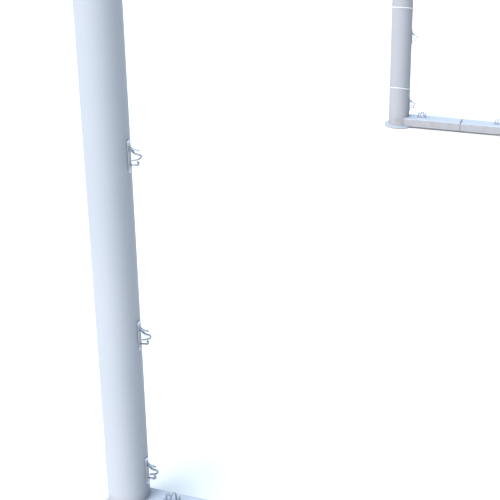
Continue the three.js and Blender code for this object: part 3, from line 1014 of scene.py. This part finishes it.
def add_screw_head(shape, place):
    """A pan head with a cross recess."""
    radius = 0.0042
    height = 0.0026
    recess_depth = 0.0012
    recess_half_width = 0.00055
    recess_reach = 0.6
    recess_middle = 0.12
    # Shares of the radius and the height, from the rim up to the recess.
    dome = ((1.0, 0.0), (1.0, 0.45), (0.93, 0.72), (0.78, 0.9), (0.6, 0.98), (0.45, 1.0), (0.3, 1.0))
    rings = []
    for out, up in dome:
        ring = []
        for u, v in round_section(radius * out, 48):
            recessed = out <= recess_reach and min(abs(u), abs(v)) < recess_half_width
            top = height * up - recess_depth if recessed else height * up
            ring.append(place + Vector((u, v, top)))
        rings.append(ring)
    floor = level(round_section(radius * recess_middle, 48), height - recess_depth)
    rings.append([place + point for point in floor])
    shape.skin(rings, caps=True)


def arc_points(centre_y, centre_z, radius, degrees):
    angles = [math.radians(degree) for degree in degrees]
    return [(centre_y + radius * math.cos(a), centre_z + radius * math.sin(a)) for a in angles]


def hook_mesh():
    """A net hook with its base strip along Y and its fingers rising along Z."""
    shape = Shape()
    width = 0.014
    corner = 0.0055
    lower_edge = 0.0004
    upper_edge = 0.0006
    screw_y = HOOK_LENGTH / 2 - 0.005
    profile = [
        (0, lower_edge),
        (lower_edge, 0),
        (HOOK_THICKNESS - upper_edge, 0),
        (HOOK_THICKNESS, upper_edge),
    ]
    rings = []
    for height, inset in profile:
        outline = flat_section(width - 2 * inset, HOOK_LENGTH - 2 * inset, corner - inset, across=2)
        rings.append(level(outline, height))
    shape.skin(rings, caps=True)
    add_finger(shape, [(21.5, 1.2), (19.6, 4.2), (16.9, 8.2), (15.1, 13), (14.3, 18), (14.5, 22.6)])
    rise = [(12.6, 1.2), (12.4, 5.5), (10.9, 9.4), (7.8, 12.3), (5.8, 17)]
    bend = arc_points(0.9, 24, 4.3, (0, 40, 80, 120, 160))
    tail = [(-5.9, 19.6), (-8.2, 14), (-9.2, 8.6)]
    add_finger(shape, [*rise, *bend, *tail])
    curl = arc_points(-14.8, 18, 4, (180, 140, 100, 60, 20))
    add_finger(shape, [(-20.6, 1.2), (-20.4, 5), (-19.5, 11), *curl])
    for way in (-1, 1):
        add_screw_head(shape, Vector((0, way * screw_y, HOOK_THICKNESS)))
    return shape.mesh("net_hook", "hook_metal")


# Which way a hook's strip lies and which way it stands out, by where the hook is.
HOOK_WAYS = {"post": (Z, Y), "stub": (Y, Z), "side": (Y, Z), "cross": (X, Y), "rear": (X, Z)}


def build_hooks():
    mesh = hook_mesh()
    for node in sorted(frame["nodes"]):
        if "_hook_" not in node:
            continue
        along, outward = HOOK_WAYS[node.split("_")[0]]
        low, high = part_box(node)
        centre = (low + high) / 2
        on_base = centre + outward * outward.dot(low - centre)
        show(node, mesh, aim(on_base, along, outward))


# ---- Cord ties ----
TIES = {"lower": (0.1855, 0.395), "upper": (0.591, 0.26)}  # height and slope
CORD_RADIUS = 0.0022
TIGHT_CORD_RADIUS = 0.0017


def add_cord(shape, path, radius):
    """Three strands laid together along a line of points."""
    lay = 0.014
    spacing = 0.0011
    strand_turn = 2 * math.pi / 3
    points = evenly(path, spacing, False)
    ways = tangents(points, False)
    side = ways[0].orthogonal().normalized()
    strand = radius * 0.48
    off_axis = radius - strand
    rings = []
    for i, (point, way) in enumerate(zip(points, ways)):
        side = (side - way * side.dot(way)).normalized()
        other = way.cross(side)
        twist = 2 * math.pi * i * spacing / lay
        ring = []
        for a in turns(18):
            from_strand = (a + strand_turn / 2) % strand_turn - strand_turn / 2
            groove = max(strand**2 - (off_axis * math.sin(from_strand)) ** 2, 0)
            reach = off_axis * math.cos(from_strand) + math.sqrt(groove)
            ring.append(point + reach * (side * math.cos(a + twist) + other * math.sin(a + twist)))
        rings.append(ring)
    shape.skin(rings, caps=True)


def tie_turn(centre, radius, slope):
    """A slanted turn round a post, open by the width of its knot on the outer side."""
    open_angle = math.radians(8)
    steps = 120
    turn = []
    for step in range(steps + 1):
        angle = math.pi + open_angle / 2 + (2 * math.pi - open_angle) * step / steps
        x = radius * math.cos(angle)
        turn.append(centre + Vector((x, radius * math.sin(angle), x * slope)))
    return turn


def trefoil_knot(centre):
    """The closed line of a small knot with three lobes."""
    size = 0.0021
    knot = []
    for t in turns(90):
        across = math.sin(t) + 2 * math.sin(2 * t)
        up = math.cos(t) - 2 * math.cos(2 * t)
        knot.append(centre + size * Vector((-math.sin(3 * t), across, up)))
    return [*knot, knot[0]]


def knot_end(centre, way):
    """A cord's end hanging from a knot, out to one side. One end is longer than the other."""
    line = [
        Vector((-0.001, way * 0.002, -0.002)),
        Vector((-0.003, way * 0.006, -0.008)),
        Vector((-0.002, way * 0.007, -0.016)),
        Vector((-0.001, way * 0.0085, -0.026 - way * 0.003)),
    ]
    return smooth_line([centre + point for point in line])


def build_tie(label):
    """A slanted turn of cord round the left post, with a knot and two short ends."""
    height, slope = TIES[label]
    centre = Vector((-POST_X, POST_Y, height))
    radius = POST_RADIUS + GAP + CORD_RADIUS
    knot_radius = radius + 0.002
    knot_centre = centre + Vector((-knot_radius, 0, -radius * slope))
    shape = Shape()
    add_cord(shape, tie_turn(centre, radius, slope), CORD_RADIUS)
    add_cord(shape, trefoil_knot(knot_centre), TIGHT_CORD_RADIUS)
    for way in (-1, 1):
        add_cord(shape, knot_end(knot_centre, way), TIGHT_CORD_RADIUS)
    show_shape(f"cord_tie_{label}", shape, "net_cord")


# ---- Camera, floor and light ----
def add_camera():
    """Outside and behind the right post at eye height, looking across the frame and down."""
    eye_height = 1.673
    out_from_post = 1.898
    behind_post = 1.002
    heading = math.radians(109.73)
    downward = math.radians(19.825)
    roll = math.radians(-0.93)
    data = bpy.data.cameras.new("camera")
    data.sensor_width = 36
    data.lens = 76.59
    data.shift_y = -0.191
    camera = bpy.data.objects.new("camera", data)
    bpy.context.scene.collection.objects.link(camera)
    place = Matrix.Translation((POST_X + out_from_post, POST_Y + behind_post, eye_height))
    turned = Matrix.Rotation(heading, 4, "Z")
    tipped = Matrix.Rotation(math.pi / 2 - downward, 4, "X")
    rolled = Matrix.Rotation(roll, 4, "Z")
    camera.matrix_world = place @ turned @ tipped @ rolled
    bpy.context.scene.camera = camera


def add_floor():
    """A plain pale floor, wide enough to reach the horizon in any view."""
    radius = 80
    height = -0.0005
    recipe = Recipe("floor")
    shade = recipe.spread(recipe.noise(0.8), 0.3, 0.7, 0, 1)
    recipe.set_colour(recipe.mix(shade, (0.91, 0.89, 0.86), (0.93, 0.91, 0.88)))
    recipe.shader.inputs["Roughness"].default_value = 0.9
    mesh = bpy.data.meshes.new("floor")
    rim = level(round_section(radius, 64), height)
    mesh.from_pydata(rim, [], [tuple(range(len(rim)))])
    mesh.materials.append(recipe.material)
    floor = bpy.data.objects.new("floor", mesh)
    bpy.context.scene.collection.objects.link(floor)


def add_lamp(name, toward, strength, colour):
    """A broad soft lamp, far off in one direction."""
    breadth = math.radians(50)
    data = bpy.data.lights.new(name, "SUN")
    data.energy = strength
    data.angle = breadth
    data.color = colour
    lamp = bpy.data.objects.new(name, data)
    bpy.context.scene.collection.objects.link(lamp)
    lamp.rotation_euler = Vector(toward).to_track_quat("Z", "Y").to_euler()
    lamp.visible_camera = False


def add_surroundings():
    """A white backdrop for the camera, a pale blue sky in reflections and a faint glow that lights
    the rest."""
    world = bpy.data.worlds.new("studio")
    world.use_nodes = True
    tree = world.node_tree
    tree.nodes.clear()
    backdrop = tree.nodes.new("ShaderNodeBackground")
    backdrop.inputs["Color"].default_value = (1, 1, 1, 1)
    glow = tree.nodes.new("ShaderNodeBackground")
    glow.inputs["Color"].default_value = (0.75, 0.86, 1.0, 1)
    glow.inputs["Strength"].default_value = 0.1
    sky = tree.nodes.new("ShaderNodeBackground")
    sky.inputs["Color"].default_value = (0.72, 0.84, 1.0, 1)
    sky.inputs["Strength"].default_value = 0.75
    rays = tree.nodes.new("ShaderNodeLightPath")
    mirrored = tree.nodes.new("ShaderNodeMixShader")
    seen = tree.nodes.new("ShaderNodeMixShader")
    output = tree.nodes.new("ShaderNodeOutputWorld")
    tree.links.new(rays.outputs["Is Glossy Ray"], mirrored.inputs["Fac"])
    tree.links.new(glow.outputs["Background"], mirrored.inputs[1])
    tree.links.new(sky.outputs["Background"], mirrored.inputs[2])
    tree.links.new(rays.outputs["Is Camera Ray"], seen.inputs["Fac"])
    tree.links.new(mirrored.outputs["Shader"], seen.inputs[1])
    tree.links.new(backdrop.outputs["Background"], seen.inputs[2])
    tree.links.new(seen.outputs["Shader"], output.inputs["Surface"])
    bpy.context.scene.world = world


def build_studio():
    add_camera()
    add_floor()
    add_surroundings()
    add_lamp("key", toward=(0.88, -0.47, 0.7), strength=3.5, colour=(1.0, 1.0, 1.0))
    add_lamp("overhead", toward=(0, 0, 1), strength=3.2, colour=(0.66, 0.82, 1.0))
    bpy.context.scene.view_settings.view_transform = "Standard"


build_crossbar()
build_rear_bar()
for label, side in SIDES.items():
    build_post(label, side)
    build_foot_plate(label, side)
    build_ground_stub(label, side)
    build_ground_spigot(label, side)
    build_top_spigot(label, side)
    build_side_bar(label, side)
    build_stay(label, side)
    build_stay_socket(label, side)
    build_rear_pad(label)
    build_anchor_lug(label)
    build_anchor_loop(label)
    sleeve = frame["nodes"][f"corner_sleeve_{label}"]
    sleeve.material_slots[0].material = MATERIALS["zinc"]
build_hooks()
for label in TIES:
    build_tie(label)
build_studio()
